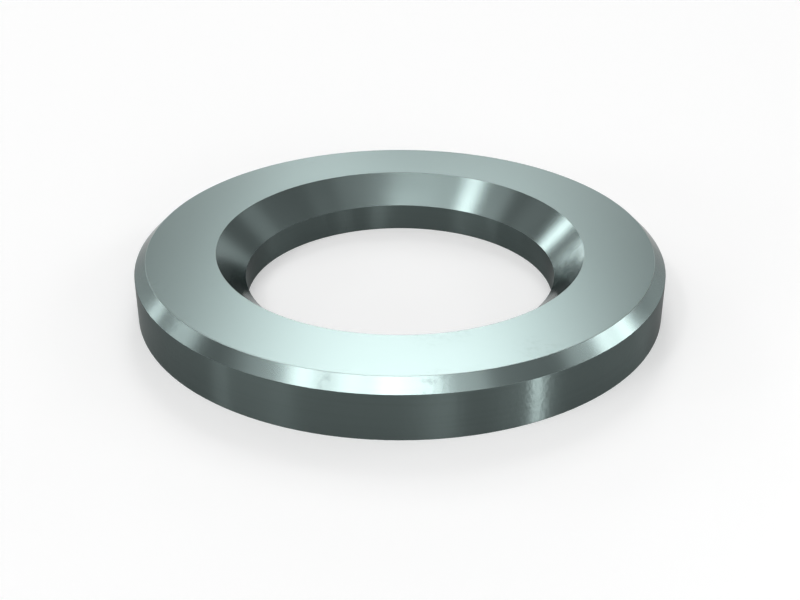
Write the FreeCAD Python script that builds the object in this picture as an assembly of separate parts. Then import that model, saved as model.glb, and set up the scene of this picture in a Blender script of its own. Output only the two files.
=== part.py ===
"""Steel washer for structural bolting, nominal size 22 mm, turned in one piece.

The plain bearing face lies on z = 0. The other face has a 45 degree bevel round its rim and a
conical countersink at the bore, which clears the round under a bolt's head. Millimetres.
"""

import FreeCAD, Part
import math
import os

# Driving dimensions, in millimetres and degrees
outer_diameter = 39.0
bore_diameter = 23.0
thickness = 4.2
countersink_depth = 2.1
countersink_angle = 90.0  # between opposite sides of the cone
bevel_height = 0.85
bevel_slope = 45.0  # between the bevel and the bearing face
edge_radius = 0.05  # every corner of the section is broken by this much


def sharp_corners():
    """Corners of the ring's half section as (radius, height), anticlockwise from the bore's foot."""
    outer_radius = outer_diameter / 2
    bore_radius = bore_diameter / 2
    bevel_width = bevel_height / math.tan(math.radians(bevel_slope))
    countersink_width = countersink_depth * math.tan(math.radians(countersink_angle / 2))
    return [
        (bore_radius, 0.0),
        (outer_radius, 0.0),
        (outer_radius, thickness - bevel_height),
        (outer_radius - bevel_width, thickness),
        (bore_radius + countersink_width, thickness),
        (bore_radius, thickness - countersink_depth),
    ]


def broken_corner(before, corner, after, radius):
    """Arc of this radius in the corner, tangent to both of its sides."""
    to_before = (before - corner).normalize()
    to_after = (after - corner).normalize()
    half_angle = to_before.getAngle(to_after) / 2
    setback = radius / math.tan(half_angle)
    inwards = (to_before + to_after).normalize()
    middle = corner + inwards * (radius / math.sin(half_angle) - radius)
    return Part.Arc(corner + to_before * setback, middle, corner + to_after * setback)


def section():
    """Half section of the ring in the XZ plane: straight sides joined by the broken corners."""
    points = [FreeCAD.Vector(radius, 0, height) for radius, height in sharp_corners()]
    count = len(points)
    arcs = [
        broken_corner(points[i - 1], points[i], points[(i + 1) % count], edge_radius)
        for i in range(count)
    ]
    sides = [Part.LineSegment(arcs[i - 1].EndPoint, arcs[i].StartPoint) for i in range(count)]
    outline = [curve.toShape() for pair in zip(sides, arcs) for curve in pair]
    return Part.Face(Part.Wire(outline))


def washer():
    """The section turned about the bore's axis."""
    return section().revolve(FreeCAD.Vector(0, 0, 0), FreeCAD.Vector(0, 0, 1), 360)


def main():
    os.makedirs("parts", exist_ok=True)
    ring = washer()
    ring.exportStep("parts/washer.step")
    print(f"washer: {len(ring.Faces)} faces, {ring.Volume:.1f} mm3, valid {ring.isValid()}")


main()
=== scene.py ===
"""Studio scene for one steel washer that lies flat with its countersunk face up.

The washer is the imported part, with its shape untouched. It gets a dark hardened steel that is
turned on the rim, bevel, countersink and bore and ground on the flat faces. The floor is plain
and pale, and soft lamps stand all round. Units are metres unless a name or comment says more.
"""

import math

import bpy
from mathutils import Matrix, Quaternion, Vector

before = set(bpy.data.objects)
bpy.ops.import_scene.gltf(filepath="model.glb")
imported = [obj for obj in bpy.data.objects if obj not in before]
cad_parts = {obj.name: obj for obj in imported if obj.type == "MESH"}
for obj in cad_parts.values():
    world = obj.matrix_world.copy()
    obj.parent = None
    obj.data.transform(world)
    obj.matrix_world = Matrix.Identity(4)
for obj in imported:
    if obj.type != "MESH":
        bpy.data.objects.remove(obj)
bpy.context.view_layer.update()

MM = 0.001
WHITE = (1.0, 1.0, 1.0, 1.0)
BLACK = (0.0, 0.0, 0.0, 1.0)

# Camera, at the photograph's viewing angle
FOCAL_LENGTH_MM = 56.8
SENSOR_WIDTH_MM = 36.0
CAMERA_DISTANCE = 96.05 * MM
CAMERA_ELEVATION = 28.46  # degrees
LOOK_AT_HEIGHT = -0.60 * MM
NEAREST_SHOWN = 5 * MM
FURTHEST_SHOWN = 50.0

# Room
FLOOR_RADIUS = 1.0
FLOOR_CORNERS = 96
FLOOR_COLOUR = (0.80, 0.80, 0.80, 1.0)
FLOOR_GLOW = 0.265  # light that the camera and the steel see the floor give off, to make it white
SKY_LEVEL = 0.27  # how strongly the room itself lights the washer, where 1 is white
HORIZON_LEVEL = 1.0  # how bright the room looks low down, beside the white floor
HORIZON_TOP = 10.0  # degrees up to which it looks that bright
HORIZON_END = 18.0  # degrees above which it looks no brighter than it lights
LAMP_DISTANCE = 1.5
CLOSE_LAMP_DISTANCE = 78 * MM

# Faces of the washer, told apart by how upright the normal is: 0 on the walls, 1 on the flat
# faces. Each pair gives where a change from one to the other begins and where it is complete.
SLOPE = math.sqrt(0.5)  # on the bevel and the countersink
WALL_END = (0.10, 0.45)
FLAT_START = (0.85, 0.98)
EDGE_ABOVE_WALL = (0.02, 0.12)
EDGE_OFF_SLOPE = (0.01, 0.06)  # measured from the slope, either way
EDGE_BELOW_FLAT = (0.98, 0.999)
# Where the painted shade of the walls fades out
WALL_SHADE_END = (0.50, 0.69)
UPPER_EDGE_START = (0.60, 0.80)
EDGE_HIGHLIGHT_START = (0.72, 0.80)  # of the painted highlight on the broken edge between the bevel and the flat face
EDGE_HIGHLIGHT_RADII = (16 * MM, 17 * MM)  # radii between which it begins, so that only the bevel's edge gets the painted highlight

# Steel
GROUND_COLOUR = (0.190, 0.240, 0.235, 1.0)
# Darker copy of the steel for the walls: painted shade that stands in for the dark surroundings the
# walls mirror
SHADED_WALL_COLOUR = (0.085, 0.1075, 0.1045, 1.0)
PAINTED_EDGE_HIGHLIGHT_COLOUR = (0.38, 0.46, 0.45, 1.0)  # painted highlight, lighter than the steel, that lifts the dark line along the broken edge
GLANCING_TINT = (0.6, 0.6, 0.6, 1.0)  # share of a metal's usual reflection left at a glancing view
GROUND_ROUGHNESS = 0.28
TURNED_ROUGHNESS = 0.21
WALL_ROUGHNESS = 0.34
EDGE_ROUGHNESS = 0.60  # of the broken edges beside the walls
UPPER_EDGE_ROUGHNESS = 0.32  # of those beside the flat face
WALL_STRETCH = 1.0  # how far the turning marks draw out a reflection on the walls
QUARTER_TURN = 0.25  # which draws it out across the marks, not along them

# Turning marks on the walls
MARK_PITCH = 0.25 * MM
MARK_DETAIL = 1.0
MARK_LIMITS = (0.45, 0.65)  # noise at which a mark begins and at which it is full
MARK_TONE = 0.03  # how much darker a mark is than the steel beside it

# Ripples on the walls, which make a reflection there ragged
RIPPLE_SIZE = 0.30 * MM
RIPPLE_DETAIL = 1.0
RIPPLE_SHARE = 0.8  # of the mottling's depth

# Mottling, in a few spots
MOTTLE_SIZE = 0.42 * MM
MOTTLE_DETAIL = 2.0
MOTTLE_LIMITS = (0.45, 0.75)  # noise at which a mottle begins and at which it is full
MOTTLE_DEPTH = 0.007 * MM
MOTTLE_TONE = 0.10  # how much darker a mottle is
MOTTLE_ROUGHNESS = 0.05  # how much rougher it is
NOISE_MIDDLE = 0.5
SPOT_CORE = 0.3  # share of a spot's reach within which its mottling is full
MOTTLED_SPOTS = (  # azimuth from behind in degrees; radius, height and reach in millimetres; strength
    (173, 19.1, 3.75, 1.8, 0.6),
    (-166, 19.1, 3.75, 0.8, 0.8),
    (-128, 19.1, 3.75, 1.6, 0.8),
    (-113, 19.1, 3.75, 2.2, 0.8),
    (-60, 19.1, 3.75, 1.5, 0.8),
    (15, 19.1, 3.75, 2.0, 0.8),
    (80, 19.1, 3.75, 1.3, 0.8),
    (90, 12.4, 3.00, 2.0, 1.2),
    (100, 12.2, 2.80, 2.0, 1.2),
    (-140, 12.4, 3.00, 1.5, 0.9),
    (173, 14.2, 4.20, 1.7, 0.6),
    (165, 14.1, 4.20, 1.4, 0.6),
    (150, 17.6, 4.20, 2.0, 0.7),
    (-27, 18.0, 4.20, 1.5, 0.6),
)


def feed(tree, socket, value):
    """Joins another node's output to this socket, or writes a plain number or vector into it."""
    if isinstance(value, bpy.types.NodeSocket):
        tree.links.new(value, socket)
    else:
        socket.default_value = value


def calculate(tree, operation, *values):
    """Output of a Math node that does this operation on sockets or numbers."""
    node = tree.nodes.new("ShaderNodeMath")
    node.operation = operation
    for socket, value in zip(node.inputs, values):
        feed(tree, socket, value)
    return node.outputs["Value"]


def multiply(tree, first, second):
    """Product of two sockets or numbers."""
    return calculate(tree, "MULTIPLY", first, second)


def split(tree, vector):
    """X, Y and Z of a vector, by name or in turn."""
    node = tree.nodes.new("ShaderNodeSeparateXYZ")
    feed(tree, node.inputs["Vector"], vector)
    return node.outputs


def ease(tree, value, start, end, low=0.0, high=1.0):
    """Goes smoothly from low, where value is at start, to high, where it is at end."""
    node = tree.nodes.new("ShaderNodeMapRange")
    node.interpolation_type = "SMOOTHSTEP"
    names = ("Value", "From Min", "From Max", "To Min", "To Max")
    for name, number in zip(names, (value, start, end, low, high)):
        feed(tree, node.inputs[name], number)
    return node.outputs["Result"]


def noise(tree, place, scale, detail):
    """Soft noise between 0 and 1, where scale is how many grains fit in one unit of place."""
    node = tree.nodes.new("ShaderNodeTexNoise")
    feed(tree, node.inputs["Vector"], place)
    feed(tree, node.inputs["Scale"], scale)
    feed(tree, node.inputs["Detail"], detail)
    return node.outputs["Fac"]


def blend_colours(tree, share, first, second):
    """First colour where share is 0, second where it is 1."""
    node = tree.nodes.new("ShaderNodeMix")
    node.data_type = "RGBA"
    feed(tree, node.inputs["Factor"], share)
    feed(tree, node.inputs["A"], first)
    feed(tree, node.inputs["B"], second)
    return node.outputs["Result"]


def bump(tree, height, depth):
    """Normal of a surface raised by height times this depth."""
    node = tree.nodes.new("ShaderNodeBump")
    feed(tree, node.inputs["Height"], height)
    feed(tree, node.inputs["Distance"], depth)
    return node.outputs["Normal"]


def facing(direction):
    """Rotation that points an object's own -Z along this direction, with its Y upwards."""
    return direction.to_track_quat("-Z", "Y")


def add_camera():
    """Camera in front of the washer, level from side to side and looking down on it."""
    elevation = math.radians(CAMERA_ELEVATION)
    target = Vector((0.0, 0.0, LOOK_AT_HEIGHT))
    away = Vector((0.0, -math.cos(elevation), math.sin(elevation)))
    data = bpy.data.cameras.new("camera")
    data.lens = FOCAL_LENGTH_MM
    data.sensor_width = SENSOR_WIDTH_MM
    data.clip_start = NEAREST_SHOWN
    data.clip_end = FURTHEST_SHOWN
    camera = bpy.data.objects.new("camera", data)
    camera.location = target + away * CAMERA_DISTANCE
    camera.rotation_euler = facing(-away).to_euler()
    bpy.context.collection.objects.link(camera)
    bpy.context.scene.camera = camera


def softbox(name, azimuth, elevation, width, height, radiance, roll=0.0, distance=LAMP_DISTANCE):
    """Flat rectangular lamp that faces the washer, given by angles in degrees.

    The azimuth runs from +Y, behind the washer, towards +X. Width and height are the angles that
    the lamp fills as the washer sees it, and roll tips its right end up. A radiance of 1 is as
    bright as white paper in this room.
    """
    turn = math.radians(azimuth)
    rise = math.radians(elevation)
    away = Vector((math.sin(turn) * math.cos(rise), math.cos(turn) * math.cos(rise), math.sin(rise)))
    data = bpy.data.lights.new(name, "AREA")
    data.shape = "RECTANGLE"
    data.size = 2 * distance * math.tan(math.radians(width / 2))
    data.size_y = 2 * distance * math.tan(math.radians(height / 2))
    data.energy = radiance * math.pi * data.size * data.size_y
    lamp = bpy.data.objects.new(name, data)
    lamp.location = away * distance
    spin = Quaternion((0.0, 0.0, 1.0), math.radians(-roll))
    lamp.rotation_euler = (facing(-away) @ spin).to_euler()
    lamp.visible_camera = False
    bpy.context.collection.objects.link(lamp)


def add_lamps():
    """Soft lamps all round, each placed where one face of the washer mirrors it."""
    # Behind the washer, for the flat face
    softbox("back_key", azimuth=0, elevation=37, width=20, height=13, radiance=4.2)
    softbox("back_key_high", azimuth=1, elevation=44.5, width=10, height=9, radiance=7.2)
    softbox("back_key_low", azimuth=0, elevation=30, width=12, height=6, radiance=5.8)
    softbox("back_low_left", azimuth=-4.5, elevation=17.5, width=5, height=6, radiance=4.0)
    softbox("back_low_right", azimuth=6, elevation=18, width=6, height=5, radiance=2.0)

    # In front of it and above, for the front of the bevel and the back of the countersink
    softbox("front_left_strip", azimuth=-119, elevation=53.7, width=20, height=7, radiance=5.6, roll=27)
    softbox("front_left_spot", azimuth=-111, elevation=58, width=8, height=8, radiance=1.8)
    softbox("front_left_edge", azimuth=-100, elevation=46.5, width=24, height=11, radiance=0.9)
    softbox("front_left", azimuth=-148, elevation=54.5, width=18, height=6, radiance=5.0, roll=-18)
    softbox("front_left_corner", azimuth=-130, elevation=51, width=6, height=6, radiance=3.2)
    softbox("front_left_high", azimuth=-153, elevation=56, width=8, height=6, radiance=4.1)
    softbox("front_middle", azimuth=-173, elevation=58, width=6, height=6, radiance=3.1)
    softbox("front_right", azimuth=176, elevation=57, width=22, height=6, radiance=8.1)
    softbox("front_right_fill", azimuth=144, elevation=53.5, width=12, height=7, radiance=1.65, roll=18)
    softbox("front_right_low", azimuth=160, elevation=48, width=20, height=6, radiance=1.45)
    softbox("overhead", azimuth=-157, elevation=66, width=30, height=8, radiance=1.5)
    softbox("overhead_right", azimuth=145, elevation=65, width=30, height=10, radiance=0.37)

    # At its sides, for the ends of the bevel and the sides of the countersink
    softbox("left_strip", azimuth=-45.3, elevation=22.6, width=6, height=7, radiance=6.6, roll=30)
    softbox("left_strip_end", azimuth=-41, elevation=22, width=5, height=5, radiance=4.7)
    softbox("left_low_strip", azimuth=-60.8, elevation=15.4, width=5, height=5, radiance=6.0, roll=30)
    softbox("left_fill", azimuth=-75, elevation=26.5, width=14, height=6, radiance=2.6, roll=-36)
    softbox("left_high", azimuth=-66, elevation=36, width=18, height=10, radiance=0.25)
    softbox("left_back", azimuth=-24, elevation=11, width=8, height=10, radiance=3.8)
    softbox("right", azimuth=76, elevation=27, width=20, height=8, radiance=3.5, roll=35)
    softbox("right_low", azimuth=72, elevation=23, width=6, height=6, radiance=4.4)
    softbox("right_high", azimuth=82, elevation=30, width=6, height=6, radiance=3.4)
    softbox("right_fill", azimuth=93, elevation=37, width=10, height=7, radiance=1.55, roll=25)
    softbox("right_front", azimuth=118, elevation=50, width=28, height=14, radiance=0.25)
    softbox("right_back", azimuth=57, elevation=31, width=14, height=10, radiance=0.4)

    # Close by and no higher than the washer, for the streak on the rim: the flat face can't mirror it
    softbox("rim_right", azimuth=132.5, elevation=1.6, width=2.6, height=2.9, radiance=340,
            distance=CLOSE_LAMP_DISTANCE)

    # Low and far, for the other upright bands on the rim and in the bore
    softbox("rim_right_side", azimuth=119, elevation=5, width=4, height=10, radiance=4.0)
    softbox("rim_front_right", azimuth=137, elevation=12, width=10, height=16, radiance=3.3)
    softbox("rim_front", azimuth=163, elevation=12, width=10, height=16, radiance=6.6)
    softbox("rim_front_middle", azimuth=172, elevation=8, width=10, height=12, radiance=2.2)
    softbox("rim_front_left", azimuth=-134, elevation=12, width=8, height=16, radiance=4.35)
    softbox("rim_left_wide", azimuth=-122, elevation=12, width=16, height=16, radiance=2.45)
    softbox("rim_left", azimuth=-107, elevation=8, width=6, height=12, radiance=11.0)
    softbox("rim_back_left", azimuth=-14, elevation=6, width=10, height=10, radiance=8.0)
    softbox("rim_back_right", azimuth=12, elevation=8, width=8, height=10, radiance=7.5)
    softbox("rim_far_right", azimuth=67, elevation=10, width=8, height=12, radiance=5.1)


def looking_rays(tree):
    """1 for the rays by which the camera, the steel or glass sees this surface, 0 for its light."""
    seen_by = tree.nodes.new("ShaderNodeLightPath").outputs
    mirrored = calculate(tree, "MAXIMUM", seen_by["Is Glossy Ray"], seen_by["Is Transmission Ray"])
    return calculate(tree, "MAXIMUM", seen_by["Is Camera Ray"], mirrored)


def floor_paint():
    """Pale matt paint that looks white, though it lights the washer no more than pale paint does."""
    material = bpy.data.materials.new("pale_floor")
    material.use_nodes = True
    tree = material.node_tree
    tree.nodes.clear()
    paint = tree.nodes.new("ShaderNodeBsdfDiffuse")
    feed(tree, paint.inputs["Color"], FLOOR_COLOUR)
    glow = tree.nodes.new("ShaderNodeEmission")
    feed(tree, glow.inputs["Strength"], multiply(tree, looking_rays(tree), FLOOR_GLOW))
    both = tree.nodes.new("ShaderNodeAddShader")
    feed(tree, both.inputs[0], paint.outputs["BSDF"])
    feed(tree, both.inputs[1], glow.outputs["Emission"])
    output = tree.nodes.new("ShaderNodeOutputMaterial")
    feed(tree, output.inputs["Surface"], both.outputs["Shader"])
    return material


def add_floor():
    """Large plain disc under the washer."""
    mesh = bpy.data.meshes.new("floor")
    corners = []
    for i in range(FLOOR_CORNERS):
        turn = 2 * math.pi * i / FLOOR_CORNERS
        corners.append((FLOOR_RADIUS * math.cos(turn), FLOOR_RADIUS * math.sin(turn), 0.0))
    mesh.from_pydata(corners, [], [range(FLOOR_CORNERS)])
    mesh.materials.append(floor_paint())
    floor = bpy.data.objects.new("floor", mesh)
    bpy.context.collection.objects.link(floor)


def add_world():
    """Plain even light from the whole room, which looks white low down, where it meets the floor."""
    world = bpy.data.worlds.new("room")
    world.use_nodes = True
    tree = world.node_tree
    direction = tree.nodes.new("ShaderNodeTexCoord").outputs["Generated"]
    upward = split(tree, direction)["Z"]
    bright_up_to = math.sin(math.radians(HORIZON_TOP))
    plain_from = math.sin(math.radians(HORIZON_END))
    low_down = ease(tree, upward, bright_up_to, plain_from, 1.0, 0.0)
    white = multiply(tree, low_down, looking_rays(tree))
    background = tree.nodes["Background"]
    feed(tree, background.inputs["Color"], WHITE)
    feed(tree, background.inputs["Strength"], ease(tree, white, 0.0, 1.0, SKY_LEVEL, HORIZON_LEVEL))
    bpy.context.scene.world = world


def distance_from_axis(tree, place):
    """Radius at which a point of the washer lies."""
    across, along, _ = split(tree, place)
    squares = calculate(tree, "ADD", multiply(tree, across, across), multiply(tree, along, along))
    return calculate(tree, "SQRT", squares)


def uprightness(tree):
    """How upright the normal is: 0 on the walls, 1 on the flat faces."""
    normal = tree.nodes.new("ShaderNodeNewGeometry").outputs["Normal"]
    return calculate(tree, "ABSOLUTE", split(tree, normal)["Z"])


def broken_edges(tree, upright):
    """1 on the broken edges, easing to 0 on the walls, slopes and flat faces between them."""
    off_slope = calculate(tree, "ABSOLUTE", calculate(tree, "SUBTRACT", upright, SLOPE))
    edge = multiply(tree, ease(tree, upright, *EDGE_ABOVE_WALL), ease(tree, off_slope, *EDGE_OFF_SLOPE))
    return multiply(tree, edge, ease(tree, upright, *EDGE_BELOW_FLAT, 1.0, 0.0))


def turning_marks(tree, place, radius):
    """1 in the marks that run round the washer: short steps up a wall, long steps along it."""
    across, along, height = split(tree, place)
    ring = tree.nodes.new("ShaderNodeCombineXYZ")
    feed(tree, ring.inputs["X"], calculate(tree, "DIVIDE", across, radius))
    feed(tree, ring.inputs["Y"], calculate(tree, "DIVIDE", along, radius))
    feed(tree, ring.inputs["Z"], calculate(tree, "DIVIDE", height, MARK_PITCH))
    return ease(tree, noise(tree, ring.outputs["Vector"], 1.0, MARK_DETAIL), *MARK_LIMITS)


def ripples(tree, place, wall):
    """Height of the ripples on the walls, as a share of the mottling's depth."""
    ripple = noise(tree, place, 1.0 / RIPPLE_SIZE, RIPPLE_DETAIL)
    ripple = calculate(tree, "SUBTRACT", ripple, NOISE_MIDDLE)
    return multiply(tree, multiply(tree, wall, RIPPLE_SHARE), ripple)


def spotted(tree, place):
    """Each spot's strength of mottling within it, easing to 0 round it."""
    covered = 0.0
    for azimuth, radius, height, reach, strength in MOTTLED_SPOTS:
        turn = math.radians(azimuth)
        centre = Vector((radius * math.sin(turn), radius * math.cos(turn), height)) * MM
        distance = tree.nodes.new("ShaderNodeVectorMath")
        distance.operation = "DISTANCE"
        feed(tree, distance.inputs[0], place)
        feed(tree, distance.inputs[1], centre)
        spot = ease(tree, distance.outputs["Value"], SPOT_CORE * reach * MM, reach * MM, strength, 0.0)
        covered = calculate(tree, "MAXIMUM", covered, spot)
    return covered


def mottling(tree, place):
    """How strong the mottles are, and their height."""
    patches = spotted(tree, place)
    grain = noise(tree, place, 1.0 / MOTTLE_SIZE, MOTTLE_DETAIL)
    mottle = multiply(tree, patches, ease(tree, grain, *MOTTLE_LIMITS))
    height = multiply(tree, patches, calculate(tree, "SUBTRACT", grain, NOISE_MIDDLE))
    return mottle, height


def steel_colour(tree, upright, radius, edge, marks, mottle):
    """Painted shade on the walls, which take a darker copy of the steel; darker in marks and mottles; a
    painted highlight on the edge above the bevel.
    """
    # Painted shade: the walls take a darker copy of the steel, standing in for the dark surroundings
    # they mirror
    shaded_wall = ease(tree, upright, *WALL_SHADE_END, 1.0, 0.0)
    colour = blend_colours(tree, shaded_wall, GROUND_COLOUR, SHADED_WALL_COLOUR)
    # Painted highlight: the broken edge above the bevel is made lighter, to lift the dark line it shows
    edge_highlight = multiply(tree, ease(tree, upright, *EDGE_HIGHLIGHT_START), ease(tree, radius, *EDGE_HIGHLIGHT_RADII))
    colour = blend_colours(tree, multiply(tree, edge_highlight, edge), colour, PAINTED_EDGE_HIGHLIGHT_COLOUR)
    tone = calculate(tree, "MULTIPLY_ADD", marks, MARK_TONE, multiply(tree, mottle, MOTTLE_TONE))
    return blend_colours(tree, tone, colour, BLACK)


def steel_roughness(tree, upright, wall, edge, mottle):
    """Each face's own roughness, and a duller one on the broken edges and in the mottles."""
    flat = ease(tree, upright, *FLAT_START)
    turned = ease(tree, wall, 0.0, 1.0, TURNED_ROUGHNESS, WALL_ROUGHNESS)
    faces = ease(tree, flat, 0.0, 1.0, turned, GROUND_ROUGHNESS)
    broken = ease(tree, upright, *UPPER_EDGE_START, EDGE_ROUGHNESS, UPPER_EDGE_ROUGHNESS)
    roughness = ease(tree, edge, 0.0, 1.0, faces, broken)
    return calculate(tree, "MULTIPLY_ADD", mottle, MOTTLE_ROUGHNESS, roughness)


def steel():
    """Dark hardened steel, turned all round but ground on the two flat faces."""
    material = bpy.data.materials.new("steel")
    material.use_nodes = True
    tree = material.node_tree
    shader = tree.nodes["Principled BSDF"]
    place = tree.nodes.new("ShaderNodeTexCoord").outputs["Object"]
    radius = distance_from_axis(tree, place)
    upright = uprightness(tree)
    wall = ease(tree, upright, *WALL_END, 1.0, 0.0)
    edge = broken_edges(tree, upright)
    marks = multiply(tree, wall, turning_marks(tree, place, radius))
    mottle, mottle_height = mottling(tree, place)
    height = calculate(tree, "ADD", mottle_height, ripples(tree, place, wall))
    feed(tree, shader.inputs["Base Color"], steel_colour(tree, upright, radius, edge, marks, mottle))
    feed(tree, shader.inputs["Metallic"], 1.0)
    feed(tree, shader.inputs["Specular Tint"], GLANCING_TINT)
    feed(tree, shader.inputs["Roughness"], steel_roughness(tree, upright, wall, edge, mottle))
    feed(tree, shader.inputs["Normal"], bump(tree, height, MOTTLE_DEPTH))

    # The turning marks draw out a reflection up and down the walls, but not on the broken edges
    stretch = multiply(tree, wall, ease(tree, edge, 0.0, 1.0, WALL_STRETCH, 0.0))
    around = tree.nodes.new("ShaderNodeTangent")
    around.direction_type = "RADIAL"
    around.axis = "Z"
    feed(tree, shader.inputs["Anisotropic"], stretch)
    feed(tree, shader.inputs["Anisotropic Rotation"], QUARTER_TURN)
    feed(tree, shader.inputs["Tangent"], around.outputs["Tangent"])
    return material


def dress_washer():
    """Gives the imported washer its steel."""
    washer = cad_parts["washer"]
    material = steel()
    for slot in washer.material_slots:
        slot.material = material


add_camera()
add_world()
add_floor()
add_lamps()
dress_washer()
bpy.context.scene.view_settings.view_transform = "Standard"
